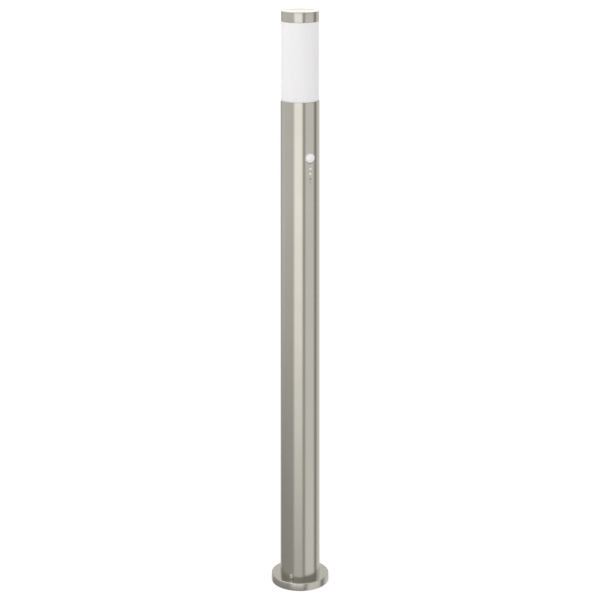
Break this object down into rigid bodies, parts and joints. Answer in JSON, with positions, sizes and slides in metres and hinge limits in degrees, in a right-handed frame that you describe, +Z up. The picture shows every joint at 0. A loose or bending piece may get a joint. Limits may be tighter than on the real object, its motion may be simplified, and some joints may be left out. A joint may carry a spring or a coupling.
{
  "type": "bollard light",
  "caption": "Slim stainless post light on a round foot, with a lift-off opal lamp head, a screw-in bulb, a motion sensor and its setting dials.",
  "frame": {"origin": "centre of the underside of the base plate, on the ground", "axes": "+Z up along the post, -Y out of the front, which is the side the motion sensor faces, +X to the right seen from the front"},
  "size_m": [0.11, 0.11, 1.1],
  "materials": {
    "brushed_stainless": "brushed grade 304 stainless, fine grain round the tube",
    "stainless_fastener": "bright cold-formed stainless",
    "zinc_steel": "bright zinc-plated sheet",
    "opal_diffuser": "opal white translucent plastic, satin",
    "bulb_opal": "frosted white translucent",
    "bulb_body": "moulded white",
    "sensor_white": "milky white infrared lens, satin",
    "dial_cream": "moulded cream, satin",
    "dark_plastic": "moulded, fine matt texture",
    "circuit_board": "green solder mask",
    "component_blue": "moulded blue",
    "rubber_black": "matt black",
    "brass": "drawn brass, satin",
    "nickel": "nickel-plated",
    "ceramic_white": "glazed off-white",
    "smoked_window": "lightly smoked clear plastic",
    "led_red": "pale red clear plastic, unlit",
    "wire_brown": "soft insulation",
    "wire_blue": "soft insulation",
    "wire_green_yellow": "soft insulation, green and yellow"
  },
  "bodies": {
    "post": {"base_plate": "brushed_stainless", "post_tube": "brushed_stainless", "post_spigot": "zinc_steel", "foot_screw_1": "stainless_fastener", "foot_screw_2": "stainless_fastener", "cable_grommet": "rubber_black", "terminal_bracket": "zinc_steel", "terminal_block": "ceramic_white", "terminal_screw_1": "brass", "terminal_screw_2": "brass", "terminal_screw_3": "brass", "cord_clamp": "dark_plastic", "clamp_screw_1": "stainless_fastener", "clamp_screw_2": "stainless_fastener", "earth_stud": "stainless_fastener", "earth_tag": "brass", "earth_nut": "stainless_fastener", "wire_earth": "wire_green_yellow", "wire_live": "wire_brown", "wire_neutral": "wire_blue", "wire_lamp_live": "wire_brown", "wire_lamp_neutral": "wire_blue", "sensor_housing": "dark_plastic", "sensor_cover": "dark_plastic", "sensor_bracket": "zinc_steel", "bracket_screw_1": "stainless_fastener", "bracket_screw_2": "stainless_fastener", "sensor_lens": "sensor_white", "sensor_gasket": "rubber_black", "sensor_board": "circuit_board", "pyro_detector": "nickel", "photocell": "smoked_window", "status_led": "led_red", "relay": "component_blue", "capacitor": "dark_plastic", "time_pot": "component_blue", "lux_pot": "component_blue", "lamp_carrier": "zinc_steel", "lampholder_body": "ceramic_white", "lampholder_screw_1": "stainless_fastener", "lampholder_screw_2": "stainless_fastener", "lampholder_shell": "brass", "lampholder_contact": "brass"},
    "head_seal": {"head_o_ring": "rubber_black"},
    "head": {"diffuser": "opal_diffuser", "top_cap": "brushed_stainless", "cap_seal": "rubber_black", "cap_stud": "stainless_fastener", "cap_clamp_bar": "zinc_steel", "cap_washer": "stainless_fastener", "cap_nut": "stainless_fastener"},
    "bulb": {"bulb_globe": "bulb_opal", "bulb_housing": "bulb_body", "bulb_screw_shell": "nickel", "bulb_insulator": "dark_plastic", "bulb_contact": "nickel"},
    "time_dial": {"time_dial": "dial_cream"},
    "lux_dial": {"lux_dial": "dial_cream"}
  },
  "joints": [
    {"name": "head_lift", "type": "slide", "parent": "post", "child": "head_seal", "axis": [0, 0, 1], "range_m": [0, 0.12]},
    {"name": "head_twist", "type": "hinge", "parent": "head_seal", "child": "head", "pos_m": [0, 0, 0.917], "axis": [0, 0, 1], "range_deg": [0, 30]},
    {"name": "bulb_turn", "type": "hinge", "parent": "post", "child": "bulb", "pos_m": [0, 0, 0.902], "axis": [0, 0, 1], "range_deg": [0, 1260]},
    {"name": "time_dial_turn", "type": "hinge", "parent": "post", "child": "time_dial", "pos_m": [0, -0.0389, 0.8], "axis": [0, -1, 0], "range_deg": [-135, 135]},
    {"name": "lux_dial_turn", "type": "hinge", "parent": "post", "child": "lux_dial", "pos_m": [0, -0.0389, 0.7903], "axis": [0, -1, 0], "range_deg": [-135, 135]}
  ]
}
